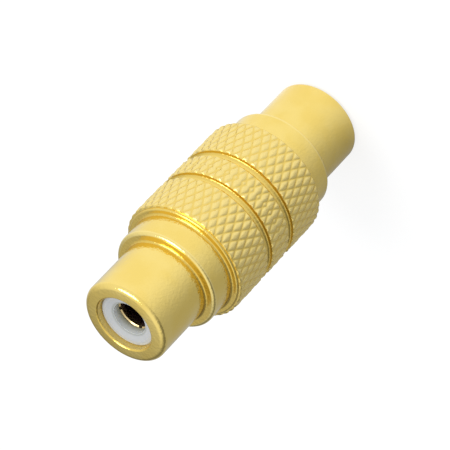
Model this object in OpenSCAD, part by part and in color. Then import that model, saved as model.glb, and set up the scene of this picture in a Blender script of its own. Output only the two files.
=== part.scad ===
/* [Length] */
// Length of the coupler from end to end
overall_len = 30.4; // [28:0.1:36]

/* [Jack ends] */
// Outside diameter of a jack end, which the ring of a plug grips
jack_d = 8.3; // [8:0.05:8.8]
// Length of a jack end, from its face to the collar
jack_len = 6.2; // [5.2:0.1:7]
// Rounding of the outer edge of a jack end
jack_round = 0.5; // [0.1:0.05:0.8]
// Chamfer round the mouth of the bore
mouth_chamfer = 0.12; // [0.05:0.01:0.3]

/* [Collars] */
// Diameter of the collar behind a jack end
collar_d = 10.2; // [9.6:0.1:10.8]
// Length of a collar
collar_len = 2.6; // [1.6:0.1:3.2]
// Rounding of the outer edge of a collar
collar_round = 0.3; // [0.1:0.05:0.4]
// Fillet in the corner at the foot of each step
step_fillet = 0.2; // [0.05:0.01:0.28]

/* [Knurled body] */
// Diameter of the body over the diamonds
body_d = 12; // [11.6:0.1:13]
// Width of the smooth rim at each end of the knurl
rim_w = 0.2; // [0.15:0.05:0.5]
// Step from the valleys of the knurl down to that rim
rim_drop = 0.14; // [0.03:0.01:0.2]
// Rounding of the edge of that rim
rim_round = 0.15; // [0.05:0.01:0.15]
// Number of diamonds round the body
knurl_count = 42; // [24:1:60]
// Length of a diamond along the body
knurl_pitch = 1.66; // [1:0.01:2.4]
// Depth of the valleys between the diamonds
knurl_depth = 0.14; // [0.1:0.01:0.28]
// Share of a diamond's width that is its flat top
knurl_flat = 0.55; // [0.2:0.05:0.8]
// Chamfer of the knurl at the ends of the body
knurl_chamfer = 0.15; // [0:0.01:0.2]
// Length of the band of diamonds between the two grooves
middle_band = 2.5; // [1:0.1:4]
// Width of each groove round the body
groove_w = 0.8; // [0.5:0.05:1.2]
// Depth of each groove below the tops of the diamonds
groove_depth = 0.55; // [0.4:0.05:0.8]
// Radius of the round nose that cut the grooves
groove_nose = 0.5; // [0.4:0.05:0.8]

/* [Insulators] */
// Diameter of the bore through the shell
bore_d = 5.5; // [5.2:0.1:6]
// How far the face of an insulator lies inside the mouth
insulator_inset = 0.6; // [0.2:0.05:1]
// Gap on the radius between an insulator and the bore that it is pressed into
insulator_gap = 0.01; // [0:0.01:0.03]
// Chamfer on the outer edges of an insulator
insulator_chamfer = 0.12; // [0.05:0.01:0.2]
// Diameter of the hole that the plug's pin enters
entry_d = 3.3; // [3.25:0.05:3.6]
// Diameter of the shallow dish round that hole
dish_d = 4.6; // [4.2:0.1:5]
// Depth of the dish
dish_depth = 0.25; // [0.1:0.05:0.35]

/* [Centre contact] */
// Diameter of the sockets, which take the pin of a plug
socket_d = 3.22; // [3.18:0.01:3.26]
// Diameter of the middle of the contact, where the insulators hold it
seat_d = 4.2; // [4.1:0.05:4.5]
// Length of that middle
seat_len = 9; // [4:0.5:12]
// Diameter of the spring fingers
finger_d = 3.9; // [3.8:0.05:4]
// How far the contact's ends lie inside the faces of the shell
contact_inset = 1.7; // [1.2:0.05:2]
// Gap on the radius between the contact's middle and the insulators
seat_gap = 0.01; // [0:0.01:0.03]
// Gap between the contact's ends and the lips that trap it
end_gap = 0.05; // [0.02:0.01:0.1]
// Thickness of metal left between the two sockets
web = 1.2; // [0.6:0.1:2]
// Included angle of the drill point at the bottom of each socket
drill_angle = 118; // [90:1:135]
// Chamfer at the mouth of each socket
socket_chamfer = 0.15; // [0.05:0.01:0.2]
// Width of the saw cuts that part the fingers
slot_w = 0.35; // [0.2:0.05:0.5]
// Length of the saw cuts
slot_len = 7.5; // [4:0.5:9]

/* [Hidden] */
$fn = 96;

// How far a cutting shape runs past the faces that it cuts
cut_over = 0.5;

half_len = overall_len / 2;
jack_r = jack_d / 2;
collar_r = collar_d / 2;
body_r = body_d / 2;
bore_r = bore_d / 2;

// Heights above the middle of the coupler
jack_foot = half_len - jack_len;
body_end = jack_foot - collar_len;
knurl_end = body_end - rim_w;
groove_near = middle_band / 2;
groove_far = groove_near + groove_w;
insulator_face = half_len - insulator_inset;
contact_end = half_len - contact_inset;

// Radii of the turned body under the diamonds
valley_r = body_r - knurl_depth;
valley_chord_r = valley_r * cos(180 / knurl_count);
core_r = valley_chord_r - rim_drop;
groove_r = body_r - groove_depth;

// Radii inside
insulator_r = bore_r - insulator_gap;
seat_r = seat_d / 2;
pocket_r = seat_r + seat_gap;
socket_r = socket_d / 2;

// A cylinder's outline from the axis out and up to top, with its outer edge rounded
module turned_outline(r, top, edge) {
    square([r, top - edge]);
    square([r - edge, top]);
    translate([r - edge, top - edge]) circle(edge);
}

// A fillet that fills the corner at the foot of a step
module foot_fillet(r, z) {
    translate([r, z]) difference() {
        square(step_fillet);
        translate([step_fillet, step_fillet]) circle(step_fillet);
    }
}

// Half of the turned outline of the shell, without its diamonds
module shell_outline() {
    difference() {
        union() {
            turned_outline(jack_r, half_len, jack_round);
            turned_outline(collar_r, jack_foot, collar_round);
            turned_outline(core_r, body_end, rim_round);
            foot_fillet(jack_r, jack_foot);
            foot_fillet(collar_r, body_end);
        }
        translate([groove_r + groove_nose, (groove_near + groove_far) / 2]) circle(groove_nose);
    }
}

// A point on the body, by its angle, radius and height
function on_body(a, r, z) = [r * cos(a), r * sin(a), z];

// A solid disc whose rim is rows of diamonds with flat tops. Each row passes
// through the middles of its diamonds and the crossings between them, and the
// next row is half a diamond round. The tops draw back from each end by a chamfer.
module knurl_band(bottom, top, bottom_chamfer, top_chamfer) {
    rows = max(1, round(2 * (top - bottom) / knurl_pitch));
    row_h = (top - bottom) / rows;
    turn = 360 / knurl_count;
    flat_a = knurl_flat * turn / 2;
    flat_z = knurl_flat * row_h;

    function middle_a(k, i) = (i + (k % 2) / 2) * turn;
    function row_z(k) = bottom + k * row_h;
    function flat_row_z(k) = k == 0 ? bottom + bottom_chamfer : k == rows ? top - top_chamfer : row_z(k);

    // Five points to a diamond: its left crossing, the left and right corners of
    // its flat top, and the upper and lower corners of its flat top
    points = [for (k = [0:rows]) for (i = [0:knurl_count - 1]) let (a = middle_a(k, i)) each [
        on_body(a - turn / 2, valley_r, row_z(k)),
        on_body(a - flat_a, body_r, flat_row_z(k)),
        on_body(a + flat_a, body_r, flat_row_z(k)),
        on_body(a, body_r, row_z(k) + (k < rows ? flat_z : 0)),
        on_body(a, body_r, row_z(k) - (k > 0 ? flat_z : 0))]];

    function at(k, i, p) = 5 * (k * knurl_count + i % knurl_count) + p;
    // The crossing on a neighbouring row that lies over a diamond's middle
    function over(k, i, next) = at(next, i + k % 2, 0);

    upper_faces = [for (k = [0:rows - 1]) for (i = [0:knurl_count - 1]) each [
        [at(k, i, 0), over(k, i, k + 1), at(k, i, 3)],
        [at(k, i, 0), at(k, i, 3), at(k, i, 1)],
        [over(k, i, k + 1), at(k, i + 1, 0), at(k, i, 2)],
        [over(k, i, k + 1), at(k, i, 2), at(k, i, 3)],
        [at(k, i, 1), at(k, i, 3), at(k, i, 2)]]];
    lower_faces = [for (k = [1:rows]) for (i = [0:knurl_count - 1]) each [
        [at(k, i, 0), at(k, i, 4), over(k, i, k - 1)],
        [at(k, i, 0), at(k, i, 1), at(k, i, 4)],
        [over(k, i, k - 1), at(k, i, 2), at(k, i + 1, 0)],
        [over(k, i, k - 1), at(k, i, 4), at(k, i, 2)],
        [at(k, i, 1), at(k, i, 2), at(k, i, 4)]]];
    end_slopes = [for (i = [0:knurl_count - 1]) each [
        [at(0, i, 0), at(0, i, 1), at(0, i, 2), at(0, i + 1, 0)],
        [at(rows, i + 1, 0), at(rows, i, 2), at(rows, i, 1), at(rows, i, 0)]]];
    ends = [
        [for (i = [0:knurl_count - 1]) at(0, i, 0)],
        [for (i = [knurl_count - 1:-1:0]) at(rows, i, 0)]];

    polyhedron(points, concat(upper_faces, lower_faces, end_slopes, ends), convexity = 4);
}

// The shell: one turned piece with two jack ends, two collars and a knurled body
module shell() {
    color([0.84, 0.70, 0.30]) translate([0, 0, half_len]) difference() {
        union() {
            rotate_extrude() shell_outline();
            mirror([0, 0, 1]) rotate_extrude() shell_outline();
            knurl_band(-groove_near, groove_near, 0, 0);
            knurl_band(groove_far, knurl_end, 0, knurl_chamfer);
            knurl_band(-knurl_end, -groove_far, knurl_chamfer, 0);
        }
        cylinder(h = overall_len + 2 * cut_over, r = bore_r, center = true);
        for (side = [0, 1]) mirror([0, 0, side])
            translate([0, 0, half_len - mouth_chamfer])
                cylinder(h = 2 * mouth_chamfer, r1 = bore_r, r2 = bore_r + 2 * mouth_chamfer);
    }
}

// An insulator: a moulded bush that reaches from the middle to its face
module insulator() {
    lip_z = contact_end + end_gap;
    color([0.90, 0.91, 0.93]) difference() {
        rotate_extrude() polygon([
            [0, 0],
            [insulator_r - insulator_chamfer, 0],
            [insulator_r, insulator_chamfer],
            [insulator_r, insulator_face - insulator_chamfer],
            [insulator_r - insulator_chamfer, insulator_face],
            [0, insulator_face]]);
        translate([0, 0, -cut_over]) cylinder(h = lip_z + cut_over, r = pocket_r);
        cylinder(h = half_len, r = entry_d / 2);
        translate([0, 0, insulator_face - dish_depth])
            cylinder(h = 2 * dish_depth, r1 = entry_d / 2, r2 = dish_d - entry_d / 2);
    }
}

module upper_insulator() {
    translate([0, 0, half_len]) insulator();
}

module lower_insulator() {
    translate([0, 0, half_len]) mirror([0, 0, 1]) insulator();
}

// One socket of the contact: the drilled hole, its chamfer and the crossed saw cuts
module socket_cut() {
    socket_floor = web / 2 + socket_r / tan(drill_angle / 2);
    translate([0, 0, web / 2]) cylinder(h = socket_floor - web / 2, r1 = 0, r2 = socket_r);
    translate([0, 0, socket_floor]) cylinder(h = contact_end - socket_floor + cut_over, r = socket_r);
    translate([0, 0, contact_end - socket_chamfer])
        cylinder(h = 2 * socket_chamfer, r1 = socket_r, r2 = socket_r + 2 * socket_chamfer);
    for (turn = [45, 135]) rotate([0, 0, turn])
        translate([-seat_d / 2, -slot_w / 2, contact_end - slot_len])
            cube([seat_d, slot_w, slot_len + cut_over]);
}

// The centre contact: a turned rod with a sprung socket in each end
module centre_contact() {
    color([0.85, 0.72, 0.36]) translate([0, 0, half_len]) difference() {
        union() {
            cylinder(h = 2 * contact_end, r = finger_d / 2, center = true);
            cylinder(h = seat_len, r = seat_r, center = true);
        }
        for (side = [0, 1]) mirror([0, 0, side]) socket_cut();
    }
}

shell();
upper_insulator();
lower_insulator();
centre_contact();
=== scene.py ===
import math

import bpy
import numpy as np
from mathutils import Matrix, Vector


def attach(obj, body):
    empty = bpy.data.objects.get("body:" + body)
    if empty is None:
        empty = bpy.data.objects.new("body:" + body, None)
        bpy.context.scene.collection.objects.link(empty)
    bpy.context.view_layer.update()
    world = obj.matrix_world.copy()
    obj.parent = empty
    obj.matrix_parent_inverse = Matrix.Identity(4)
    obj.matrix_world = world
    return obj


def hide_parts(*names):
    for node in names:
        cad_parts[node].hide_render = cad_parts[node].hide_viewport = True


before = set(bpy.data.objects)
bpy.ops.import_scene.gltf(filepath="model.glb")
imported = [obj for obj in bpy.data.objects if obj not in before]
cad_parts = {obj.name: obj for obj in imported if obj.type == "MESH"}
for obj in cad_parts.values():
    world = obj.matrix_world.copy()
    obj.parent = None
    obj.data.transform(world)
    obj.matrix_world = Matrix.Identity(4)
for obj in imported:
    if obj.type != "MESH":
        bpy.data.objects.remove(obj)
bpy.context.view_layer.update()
MM = 0.001
HALF = 15.2  # half the length of the coupler, in millimetres as are all its sizes

# ---------------------------------------------------------------- the camera
# Where the middle of the coupler lies in the camera's own axes, and how its
# axis points there (x right, y up, z back), in millimetres and degrees.
PICTURE, SENSOR = 450, 36.0
FOCAL_PX, DISTANCE = 3147.1, 274.62
MIDDLE_X, MIDDLE_Y = -0.084, -0.520
AXIS_AZ, AXIS_EL = 133.48, 35.77
CLIP_NEAR, CLIP_FAR = 0.01, 20

az, el = math.radians(AXIS_AZ), math.radians(AXIS_EL)
axis_in_camera = Vector((math.cos(el) * math.cos(az), -math.cos(el) * math.sin(az), math.sin(el)))
back = Vector((0, -math.cos(el), math.sin(el)))
level = Vector((1, 0, 0))
upright = back.cross(level)
roll = math.atan2(axis_in_camera.x, axis_in_camera.y)
right = level * math.cos(roll) + upright * math.sin(roll)
up = upright * math.cos(roll) - level * math.sin(roll)
middle = Vector((0, 0, HALF))
place = middle - right * MIDDLE_X + up * MIDDLE_Y + back * DISTANCE

cam_data = bpy.data.cameras.new("camera")
cam = bpy.data.objects.new("camera", cam_data)
bpy.context.scene.collection.objects.link(cam)
cam_data.sensor_width = SENSOR
cam_data.lens = FOCAL_PX * SENSOR / PICTURE
cam_data.clip_start, cam_data.clip_end = CLIP_NEAR, CLIP_FAR
cam.matrix_world = Matrix((
    (right.x, up.x, back.x, place.x * MM),
    (right.y, up.y, back.y, place.y * MM),
    (right.z, up.z, back.z, place.z * MM),
    (0, 0, 0, 1)))
bpy.context.scene.camera = cam


# ---------------------------------------------------------------- node helpers
class Tree:
    """A node tree that is written one line to a node."""

    def __init__(self, tree):
        self.t = tree
        tree.nodes.clear()

    def feed(self, node, inputs):
        """Link each input to a socket, or set it to a value."""
        for key, v in inputs.items():
            if isinstance(v, bpy.types.NodeSocket):
                self.t.links.new(v, node.inputs[key])
            else:
                node.inputs[key].default_value = v
        return node

    def add(self, kind, inputs=None, **settings):
        node = self.t.nodes.new(kind)
        for key, v in settings.items():
            setattr(node, key, v)
        return self.feed(node, inputs or {})

    def math(self, op, x, y=0.0, z=0.0):
        return self.add("ShaderNodeMath", {0: x, 1: y, 2: z}, operation=op).outputs[0]

    def mix(self, fac, x, y, kind="RGBA"):
        first, second, out = {"RGBA": (6, 7, 2), "FLOAT": (2, 3, 0)}[kind]
        node = self.add("ShaderNodeMix", data_type=kind)
        return self.feed(node, {0: fac, first: x, second: y}).outputs[out]

    def span(self, x, lo, hi, out_lo=0.0, out_hi=1.0):
        """A smooth step, from out_lo at lo to out_hi at hi."""
        return self.add("ShaderNodeMapRange", {0: x, 1: lo, 2: hi, 3: out_lo, 4: out_hi},
                        interpolation_type="SMOOTHSTEP").outputs[0]

    def noise(self, vector, scale, detail, **more):
        inputs = {"Vector": vector, "Scale": scale, "Detail": detail, **more}
        return self.add("ShaderNodeTexNoise", inputs).outputs[0]

    def separate(self, vector):
        return self.add("ShaderNodeSeparateXYZ", {0: vector}).outputs

    def from_axis(self, xyz):
        """The distance from the coupler's axis."""
        squares = [self.math("POWER", xyz[i], 2.0) for i in (0, 1)]
        return self.math("SQRT", self.math("ADD", *squares))

    def from_end(self, height):
        """The depth below the nearer end of the coupler."""
        off = self.math("ABSOLUTE", self.math("SUBTRACT", height, HALF * MM))
        return self.math("SUBTRACT", HALF * MM, off)


def new_material(name):
    m = bpy.data.materials.new(name)
    m.use_nodes = True
    return m, Tree(m.node_tree)


# ---------------------------------------------------------------- the shell
# The same turned form and diamonds as in the CAD, drawn finer: round-topped
# diamonds, rounded edges and the small unevenness of a rolled knurl.
JACK_R, COLLAR_R, BORE_R, RIM_R = 4.15, 5.1, 2.75, 5.70
JACK_FOOT, BODY_END, KNURL_END = 9.0, 6.4, 6.2
JACK_EDGE, COLLAR_EDGE, RIM_EDGE, FOOT_FILLET, LIP = 0.5, 0.3, 0.15, 0.2, 0.12
GROOVE_NEAR, GROOVE_FAR, GROOVE_NOSE, GROOVE_R = 1.25, 2.05, 0.5, 5.45
CROWN = 0.045  # how far the front face rises from its edge to the mouth
# The knurl: its valleys, the height of a diamond, the number of diamonds
# round it, their pitch along it and the chamfers at the ends of its bands
VALLEY_R, DEPTH, COUNT, PITCH = 5.86, 0.14, 42, 1.66
GROOVE_CHAMFER, END_CHAMFER = 0.05, 0.15
CREST = 2.4  # the power that rounds a diamond's top
WORN, LEAST = 0.10, 0.7  # how much the diamonds' heights vary, and their limit
# Slow waves in the rolling: their size, in diamonds, then how fast they turn
# round the body and along it, and where they start
WAVES = ((0.035, 0.9, 0.7, 0.0), (0.03, 0.37, -1.1, 2.0))
ROW_ORIGIN = 20  # how far below the middle the waves count rows from
FINE, COARSE, ROW_STEPS = 16 * COUNT, 4 * COUNT, 8
UNEVEN_ROWS = 64
# Marks for the plating, in the attribute low, where 0 is a plain wall and
# the knurl runs from 0 at its tops to 1 in its valleys. Higher marks paint the
# plating darker, as painted shade, and marks below 0 paint it paler, as a painted highlight.
EDGE_MARK, VALLEY_MARK, STEP_MARK, DEEP_MARK = -1.0, 1.0, 1.15, 2.0
GROOVE_MARK, GROOVE_SIDE_MARK, LIP_MARK = 1.05, 0.8, 1.5
SHARP_ANGLE = 50
rng = np.random.default_rng(7)
uneven = rng.normal(0, 1, (UNEVEN_ROWS, COUNT))


def arc(cx, cz, r, a0, a1, n=7):
    """Points of an arc (radius, height), with angles in degrees from the outward direction."""
    return [(cx + r * math.cos(math.radians(t)), cz + r * math.sin(math.radians(t)))
            for t in np.linspace(a0, a1, n)]


def marked(points, marks):
    return [(*p, mark) for p, mark in zip(points, marks)]


def knurl_rings(bottom, top, low_chamfer, high_chamfer):
    """Fine rings of one band of diamonds: (radii, height, low, knurl)."""
    rows = round(2 * (top - bottom) / PITCH)
    row_h = (top - bottom) / rows
    s = np.arange(FINE) / FINE * COUNT
    out = []
    for j in range(rows * ROW_STEPS + 1):
        t = j / ROW_STEPS
        z = bottom + t * row_h
        k = (z + ROW_ORIGIN) / row_h
        wave = sum(size * np.sin(s * across + k * along + start)
                   for size, across, along, start in WAVES)
        one, other = s + t / 2 + wave, s - t / 2 + wave
        a1, a2 = 1 - np.abs(one % 1 - 0.5) * 2, 1 - np.abs(other % 1 - 0.5) * 2
        h = (1 - a1 ** CREST) * (1 - a2 ** CREST)
        i1, i2 = np.floor(one).astype(int), np.floor(other).astype(int)
        tops = 1 - WORN * np.abs(uneven[(i1 - i2) % UNEVEN_ROWS, i1 % COUNT])
        h = h * np.clip(tops, LEAST, 1)
        for edge, chamfer in ((z - bottom, low_chamfer), (top - z, high_chamfer)):
            h = np.minimum(h, np.clip(edge / chamfer, 0, 1))
        # low is 1 in the valleys, where the plating is painted darker as shade
        out.append((VALLEY_R + DEPTH * h, z, 1 - h, 1.0))
    return out


def plain(points, low=0.0):
    """Smooth rings, from (radius, height) or from (radius, height, low)."""
    return [(np.full(COARSE, p[0]), p[1], np.full(COARSE, p[2] if len(p) > 2 else low), 0.0)
            for p in points]


def fillet(r, z):
    """The fillet at the foot of a step, rougher than the step and the wall, and marked for a
    darker colour: painted shade in the crease.
    """
    marks = (STEP_MARK, *[DEEP_MARK] * 5, VALLEY_MARK)
    return marked(arc(r + FOOT_FILLET, z + FOOT_FILLET, FOOT_FILLET, 270, 180), marks)


def groove_rings():
    """The round-nosed groove between two bands of the knurl, marked for a darker colour, most on
    its sides: painted shade in the groove.
    """
    nose = (GROOVE_NEAR + GROOVE_FAR) / 2
    side = math.degrees(math.asin((GROOVE_FAR - GROOVE_NEAR) / 2 / GROOVE_NOSE))
    bottom = arc(GROOVE_R + GROOVE_NOSE, nose, GROOVE_NOSE, 180 + side, 180 - side, 11)
    marks = GROOVE_MARK + GROOVE_SIDE_MARK * np.linspace(-1, 1, 11) ** 2
    lip = VALLEY_R - 0.01
    return plain([(lip, GROOVE_NEAR)] + marked(bottom, marks) + [(lip, GROOVE_FAR)], LIP_MARK)


def shell_rings():
    """The rings from the middle of the coupler up to the near end and down the bore.

    Beside each rounding, a ring 0.02 to 0.06 mm further on keeps the shading
    of the wall or the step straight. Other rings only part the long walls.
    """
    half = knurl_rings(-GROOVE_NEAR, GROOVE_NEAR, GROOVE_CHAMFER, GROOVE_CHAMFER)
    half = half[len(half) // 2:]
    half += groove_rings()
    half += knurl_rings(GROOVE_FAR, KNURL_END, GROOVE_CHAMFER, END_CHAMFER)
    # The end of the body, from just beyond the knurl
    outline = [(RIM_R + 0.01, KNURL_END + 0.003)]
    edge = arc(RIM_R - RIM_EDGE, BODY_END - RIM_EDGE, RIM_EDGE, 0, 90, 6)
    # The rounded rim edge and the step face beyond it are marked for a darker colour: painted
    # shade
    outline += marked(edge, [VALLEY_MARK] * 6)
    outline += [(RIM_R - RIM_EDGE - 0.02, BODY_END, STEP_MARK),
                (COLLAR_R + FOOT_FILLET + 0.02, BODY_END, STEP_MARK)]
    # The collar
    outline += fillet(COLLAR_R, BODY_END)
    outline += [(COLLAR_R, BODY_END + FOOT_FILLET + 0.04), (COLLAR_R, 7.6),
                (COLLAR_R, JACK_FOOT - COLLAR_EDGE - 0.05)]
    edge = arc(COLLAR_R - COLLAR_EDGE, JACK_FOOT - COLLAR_EDGE, COLLAR_EDGE, 0, 90, 9)
    # The collar's rounded edge is marked for a paler colour: a painted highlight
    outline += marked(edge, [EDGE_MARK] * 9)
    # The step face beyond the collar's edge is marked for a darker colour: painted shade
    outline += [(COLLAR_R - COLLAR_EDGE - 0.04, JACK_FOOT, STEP_MARK),
                (JACK_R + FOOT_FILLET + 0.03, JACK_FOOT, STEP_MARK)]
    # The jack and its front face
    outline += fillet(JACK_R, JACK_FOOT)
    outline += [(JACK_R, JACK_FOOT + FOOT_FILLET + 0.04), (JACK_R, 11), (JACK_R, 13),
                (JACK_R, HALF - JACK_EDGE - 0.06)]
    outline += arc(JACK_R - JACK_EDGE, HALF - CROWN - JACK_EDGE, JACK_EDGE, 0, 87, 13)
    outline += [(JACK_R - JACK_EDGE - 0.02, HALF - CROWN + 0.002), (BORE_R + LIP + 0.04, HALF)]
    # The mouth and the bore
    # The mouth's chamfer is marked for a darker colour: painted shade
    outline += marked([(BORE_R + LIP + 0.005, HALF - 0.001), (BORE_R + LIP - 0.005, HALF - 0.006),
                       (BORE_R + 0.004, HALF - LIP + 0.003)], [DEEP_MARK] * 3)
    outline += [(BORE_R, HALF - LIP - 0.01), (BORE_R, HALF - 0.2), (BORE_R, HALF - 1), (BORE_R, 0)]
    return half + plain(outline)


def join_rings(faces, lower, upper):
    """Faces between two rings, given as (first vertex, count), of which one may be finer."""
    (a0, na), (b0, nb) = lower, upper
    if na == nb:
        faces += [(a0 + i, a0 + (i + 1) % na, b0 + (i + 1) % nb, b0 + i) for i in range(na)]
        return
    flip = na > nb
    (c0, nc), (f0, nf) = (upper, lower) if flip else (lower, upper)
    k = nf // nc
    for i in range(nc):
        c, d = c0 + i, c0 + (i + 1) % nc
        f = [f0 + (k * i + j) % nf for j in range(k + 1)]
        made = [(c, d, f[k // 2])]
        made += [(c, f[j + 1], f[j]) for j in range(k // 2)]
        made += [(d, f[j + 1], f[j]) for j in range(k // 2, k)]
        faces += [t[::-1] for t in made] if flip else made


def build_shell():
    half = shell_rings()
    rings = half + [(r, -z, low, knurl) for r, z, low, knurl in half[::-1][1:-1]]
    verts, faces, lows, knurls, spans = [], [], [], [], []
    for r, z, low, knurl in rings:
        ang = np.arange(len(r)) / len(r) * 2 * math.pi
        spans.append((len(lows), len(r)))
        heights = np.full(len(r), z + HALF)
        verts += np.stack([r * np.cos(ang), r * np.sin(ang), heights], 1).tolist()
        lows += low.tolist()
        knurls += [knurl] * len(r)
    for i in range(len(rings)):
        join_rings(faces, spans[i], spans[(i + 1) % len(rings)])
    me = bpy.data.meshes.new("shell_finish")
    me.from_pydata((np.array(verts) * MM).tolist(), [], faces)
    me.validate()
    me.polygons.foreach_set("use_smooth", [True] * len(me.polygons))
    me.set_sharp_from_angle(angle=math.radians(SHARP_ANGLE))
    me.attributes.new("low", "FLOAT", "POINT").data.foreach_set("value", lows)
    me.attributes.new("knurl", "FLOAT", "POINT").data.foreach_set("value", knurls)
    me.update()
    ob = bpy.data.objects.new("shell_finish", me)
    bpy.context.scene.collection.objects.link(ob)
    return ob


# ---------------------------------------------------------------- materials
# Here lengths are in metres, as in the shaders, and the scales of the noises
# count per metre. A pair of lengths is where one look turns into the other.
GRAIN_HEIGHT, TURNING_HEIGHT, MOULD_HEIGHT = 0.00003, 0.0000006, 0.0000015
TURNING_STRETCH = (60.0, 60.0, 16000.0)
PIN_HOLE_R = 1.65
BORE_WALL = ((BORE_R + 0.015) * MM, (BORE_R + 0.005) * MM)
PIN_HOLE_WALL = ((PIN_HOLE_R + 0.015) * MM, (PIN_HOLE_R + 0.005) * MM)
PIN_HOLE_RIM = (0.00190, 0.00170)
PIN_HOLE_DEPTH, PAINTED_SHADE_DEPTH = (0.0010, 0.0017), (0.0019, 0.0024)
SMOOTHER_UP = (0.002, 0.026)
GOLD, GOLD_PATCH, GOLD_EDGE_PAINTED_HIGHLIGHT = (0.90, 0.70, 0.22, 1), (0.88, 0.665, 0.18, 1), (0.92, 0.74, 0.27, 1)
GOLD_TOP_PAINTED_HIGHLIGHT, GOLD_PAINTED_SHADE = (0.92, 0.74, 0.28, 1), (0.84, 0.62, 0.16, 1)
GOLD_PAINTED_DEEP_SHADE, GOLD_BORE_PAINTED_REFLECTION = (0.78, 0.56, 0.13, 1), (0.88, 0.70, 0.26, 1)
CONTACT, CONTACT_PATCH = (0.78, 0.62, 0.34, 1), (0.66, 0.50, 0.24, 1)
CONTACT_PAINTED_SHADE = (0.20, 0.11, 0.12, 1)
PLASTIC, PLASTIC_PATCH = (0.48, 0.50, 0.51, 1), (0.54, 0.55, 0.56, 1)
HOLE_RIM_PAINTED_SHADE, HOLE_WALL_PAINTED_LIGHT = (0.37, 0.39, 0.37, 1), (0.84, 0.88, 0.90, 1)
HOLE_PAINTED_SHADE_AND_GOLD_REFLECTION = (0.50, 0.50, 0.36, 1)


def gold_plate():
    """The plating of the shell: patches, grain, turning marks, and its marks low and knurl.

    Its colour is painted paler on the knurl and the collar's edge as painted highlights,
    darker in the valleys, grooves, steps and fillets as painted shade, and a little
    paler in the bore as a painted reflection.
    """
    m, t = new_material("gold_plate")
    at = t.add("ShaderNodeTexCoord").outputs["Object"]
    patches = t.noise(at, 420.0, 3.0)
    grain = t.noise(at, 3600.0, 2.0, Roughness=0.55)
    flat = t.add("ShaderNodeMapping", {"Vector": at, "Scale": TURNING_STRETCH}).outputs[0]
    turning = t.noise(flat, 1.0, 2.0)
    low = t.add("ShaderNodeAttribute", attribute_name="low").outputs["Fac"]
    knurl = t.add("ShaderNodeAttribute", attribute_name="knurl").outputs["Fac"]
    xyz = t.separate(at)
    bore = t.span(t.from_axis(xyz), *BORE_WALL)

    colour = t.mix(t.span(patches, 0.35, 0.65), GOLD, GOLD_PATCH)
    # Paler all over the knurl: a painted highlight on the diamonds' tops
    colour = t.mix(knurl, colour, GOLD_TOP_PAINTED_HIGHLIGHT)
    # Paler on the collar's edge: a painted highlight
    colour = t.mix(t.span(low, -0.2, -0.8), colour, GOLD_EDGE_PAINTED_HIGHLIGHT)
    # Darker in the knurl's valleys, the grooves, the step faces and the body's rim edge: painted
    # shade
    colour = t.mix(t.span(low, 0.35, 0.95), colour, GOLD_PAINTED_SHADE)
    # Darker still in the fillets, the grooves' sides and the mouth's chamfer: painted shade in the
    # creases
    colour = t.mix(t.span(low, VALLEY_MARK, DEEP_MARK), colour, GOLD_PAINTED_DEEP_SHADE)
    # A little paler in the bore: a painted reflection of the white bush
    colour = t.mix(bore, colour, GOLD_BORE_PAINTED_REFLECTION)

    rough = t.math("ADD", t.span(patches, 0.3, 0.7, 0.05, 0.09), t.math("MULTIPLY", turning, 0.03))
    rough = t.math("ADD", rough, t.span(xyz[2], *SMOOTHER_UP, 0.03, 0.0))
    rough = t.mix(t.span(low, STEP_MARK, 1.45), rough, 0.18, "FLOAT")
    rough = t.mix(knurl, rough, t.span(low, 0.2, 0.9, 0.36, 0.24), "FLOAT")
    rough = t.mix(bore, rough, 0.55, "FLOAT")

    # The flat faces have less grain than the walls
    facing = t.separate(t.add("ShaderNodeNewGeometry").outputs["Normal"])[2]
    calm = t.span(t.math("ABSOLUTE", facing), 0.8, 0.98, 1.0, 0.4)
    bump = t.add("ShaderNodeBump", {
        "Height": grain, "Strength": calm, "Distance": GRAIN_HEIGHT}).outputs[0]
    bump = t.add("ShaderNodeBump", {
        "Height": turning, "Strength": 1.0, "Distance": TURNING_HEIGHT, "Normal": bump}).outputs[0]
    p = t.add("ShaderNodeBsdfPrincipled", {
        "Base Color": colour, "Metallic": 1.0, "Roughness": rough, "Normal": bump})
    t.add("ShaderNodeOutputMaterial", {"Surface": p.outputs[0]})
    return m


def contact_gold():
    """The plating of the contact, painted darker below its rim as the shade down the hole."""
    m, t = new_material("contact_gold")
    at = t.add("ShaderNodeTexCoord").outputs["Object"]
    patches = t.noise(at, 900.0, 3.0)
    inside = t.from_end(t.separate(at)[2])
    colour = t.mix(patches, CONTACT, CONTACT_PATCH)
    # Darker below the rim: painted shade down the hole
    colour = t.mix(t.span(inside, *PAINTED_SHADE_DEPTH), colour, CONTACT_PAINTED_SHADE)
    rough = t.span(patches, 0.3, 0.7, 0.22, 0.36)
    p = t.add("ShaderNodeBsdfPrincipled", {
        "Base Color": colour, "Metallic": 1.0, "Roughness": rough})
    t.add("ShaderNodeOutputMaterial", {"Surface": p.outputs[0]})
    return m


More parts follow.
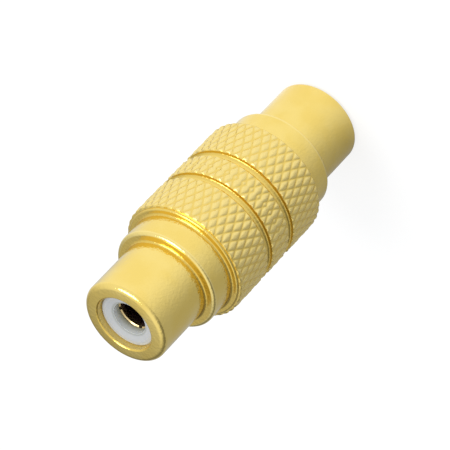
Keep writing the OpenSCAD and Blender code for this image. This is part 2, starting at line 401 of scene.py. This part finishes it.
def white_plastic():
    """The bushes: white plastic painted grey on its face as the shade of the recess, with a
    painted shade ring at the rim of the pin hole. The hole's upper wall is near white, as
    painted light against its shade, and its lower wall is painted yellower, olive, as shade
    and a painted reflection of the gold contact.
    """
    m, t = new_material("white_plastic")
    at = t.add("ShaderNodeTexCoord").outputs["Object"]
    mottle = t.noise(at, 700.0, 3.0)
    grain = t.noise(at, 9000.0, 2.0)
    xyz = t.separate(at)
    out = t.from_axis(xyz)
    inside = t.from_end(xyz[2])
    # Down the pin hole's wall: near white at the top as painted light against the hole's shade,
    # olive lower down as painted shade and a painted reflection of the gold contact
    wall = t.mix(t.span(inside, *PIN_HOLE_DEPTH), HOLE_WALL_PAINTED_LIGHT, HOLE_PAINTED_SHADE_AND_GOLD_REFLECTION)
    # The face's grey, darker than the white plastic, is painted shade of the recess
    colour = t.mix(mottle, PLASTIC, PLASTIC_PATCH)
    # A darker ring at the rim of the pin hole: painted shade
    colour = t.mix(t.span(out, *PIN_HOLE_RIM), colour, HOLE_RIM_PAINTED_SHADE)
    colour = t.mix(t.span(out, *PIN_HOLE_WALL), colour, wall)
    rough = t.span(mottle, 0.3, 0.7, 0.36, 0.46)
    bump = t.add("ShaderNodeBump", {
        "Height": grain, "Strength": 1.0, "Distance": MOULD_HEIGHT}).outputs[0]
    p = t.add("ShaderNodeBsdfPrincipled", {
        "Base Color": colour, "Roughness": rough, "Normal": bump, "IOR": 1.5})
    t.add("ShaderNodeOutputMaterial", {"Surface": p.outputs[0]})
    return m


def dress(node, material):
    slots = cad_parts[node].data.materials
    slots.clear()
    slots.append(material)


shell = build_shell()
shell.data.materials.append(gold_plate())
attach(shell, "root")
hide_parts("shell")
plastic = white_plastic()
dress("upper_insulator", plastic)
dress("lower_insulator", plastic)
dress("centre_contact", contact_gold())

# ---------------------------------------------------------------- the lamp
# A soft box that faces the coupler, at an azimuth from the camera's side and an
# elevation in degrees, with its distance and width in metres and its power in watts
LAMP_AZ, LAMP_EL, LAMP_AWAY, LAMP_WIDTH, LAMP_POWER = 60, 62, 0.45, 0.26, 0.8
LAMP_COLOUR = (1.0, 0.99, 0.97)

az, el = math.radians(LAMP_AZ), math.radians(LAMP_EL)
lamp_way = Vector((math.sin(az) * math.cos(el), -math.cos(az) * math.cos(el), math.sin(el)))
lamp_data = bpy.data.lights.new("soft_box", "AREA")
lamp_data.shape, lamp_data.size = "DISK", LAMP_WIDTH
lamp_data.energy, lamp_data.color = LAMP_POWER, LAMP_COLOUR
lamp = bpy.data.objects.new("soft_box", lamp_data)
bpy.context.scene.collection.objects.link(lamp)
lamp.location = middle * MM + lamp_way * LAMP_AWAY
lamp.rotation_mode = "QUATERNION"
lamp.rotation_quaternion = (-lamp_way).to_track_quat("-Z", "Y")
lamp.visible_camera = False

# ---------------------------------------------------------------- the floor
REACH = 3  # half the width of the floor, in metres
PAPER, PAPER_GLOW, PALE = (0.30, 0.30, 0.30, 1), 0.76, (0.80, 0.80, 0.80, 1)
PLAIN_WHITE = (1, 1, 1, 1)

# What is mirrored falls off smoothly from the lamp's side to the far side, the
# cosines between which it does so, and how bright it is at each
LAMP_SIDE = Vector((lamp_way.x, lamp_way.y, 0)).normalized()
TURNED, SHADES = (-0.8, 0.9), (0.22, 1.0)


def towards_lamp(t, way):
    """How bright the studio is in a direction, by how far it turns from the lamp's side."""
    flat = t.add("ShaderNodeVectorMath", {0: way, 1: (1, 1, 0)}, operation="MULTIPLY")
    flat = t.add("ShaderNodeVectorMath", {0: flat.outputs[0]}, operation="NORMALIZE")
    side = t.add("ShaderNodeVectorMath", {0: flat.outputs[0], 1: LAMP_SIDE},
                 operation="DOT_PRODUCT")
    return t.span(side.outputs["Value"], *TURNED, *SHADES)


def floor_paper():
    """White to the camera; to what mirrors it, its glow is painted light that falls off from the
    lamp's side to the far side; pale to other light.
    """
    m, t = new_material("floor_paper")
    ray = t.add("ShaderNodeLightPath").outputs
    paper = t.add("ShaderNodeBsdfDiffuse", {"Color": PAPER}).outputs[0]
    at = t.add("ShaderNodeTexCoord").outputs["Object"]
    # To mirrors the floor's glow is painted light, a pool that falls off away from the lamp's side
    painted_falloff = t.mix(ray["Is Camera Ray"], towards_lamp(t, at), 1.0, "FLOAT")
    strength = t.math("MULTIPLY", painted_falloff, PAPER_GLOW)
    glow = t.add("ShaderNodeEmission", {"Color": PLAIN_WHITE, "Strength": strength}).outputs[0]
    seen = t.add("ShaderNodeAddShader", {0: paper, 1: glow}).outputs[0]
    pale = t.add("ShaderNodeBsdfDiffuse", {"Color": PALE}).outputs[0]
    shine = t.math("MAXIMUM", ray["Is Glossy Ray"], ray["Is Transmission Ray"])
    shown = t.math("MAXIMUM", ray["Is Camera Ray"], shine)
    out = t.add("ShaderNodeMixShader", {0: shown, 1: pale, 2: seen}).outputs[0]
    t.add("ShaderNodeOutputMaterial", {"Surface": out})
    return m


floor_mesh = bpy.data.meshes.new("floor")
corners = [(-REACH, -REACH, 0), (REACH, -REACH, 0), (REACH, REACH, 0), (-REACH, REACH, 0)]
floor_mesh.from_pydata(corners, [], [(0, 1, 2, 3)])
floor_mesh.materials.append(floor_paper())
floor = bpy.data.objects.new("floor", floor_mesh)
bpy.context.scene.collection.objects.link(floor)

# ---------------------------------------------------------------- the world
# A plain studio in greys, white overhead. EVEN is the light that isn't mirrored.
EVEN, OVERHEAD = (0.72, 0.74, 0.77, 1), (0.30, 0.95)


def studio():
    world = bpy.data.worlds.new("studio")
    world.use_nodes = True
    t = Tree(world.node_tree)
    ray = t.add("ShaderNodeLightPath").outputs
    way = t.add("ShaderNodeTexCoord").outputs["Generated"]
    height = t.separate(way)[2]
    room = t.mix(t.span(height, *OVERHEAD), towards_lamp(t, way), 1.0, "FLOAT")
    grey = t.add("ShaderNodeCombineXYZ", {i: room for i in range(3)}).outputs[0]
    shine = t.math("MAXIMUM", ray["Is Glossy Ray"], ray["Is Transmission Ray"])
    lit = t.mix(shine, EVEN, grey)
    seen = t.mix(ray["Is Camera Ray"], lit, PLAIN_WHITE)
    sky = t.add("ShaderNodeBackground", {"Color": seen, "Strength": 1.0})
    t.add("ShaderNodeOutputWorld", {"Surface": sky.outputs[0]})
    # Without this, light that is sampled straight from the world ignores the ray kinds
    world.cycles.sampling_method = "NONE"
    return world


bpy.context.scene.world = studio()

bpy.context.scene.view_settings.view_transform = "Standard"
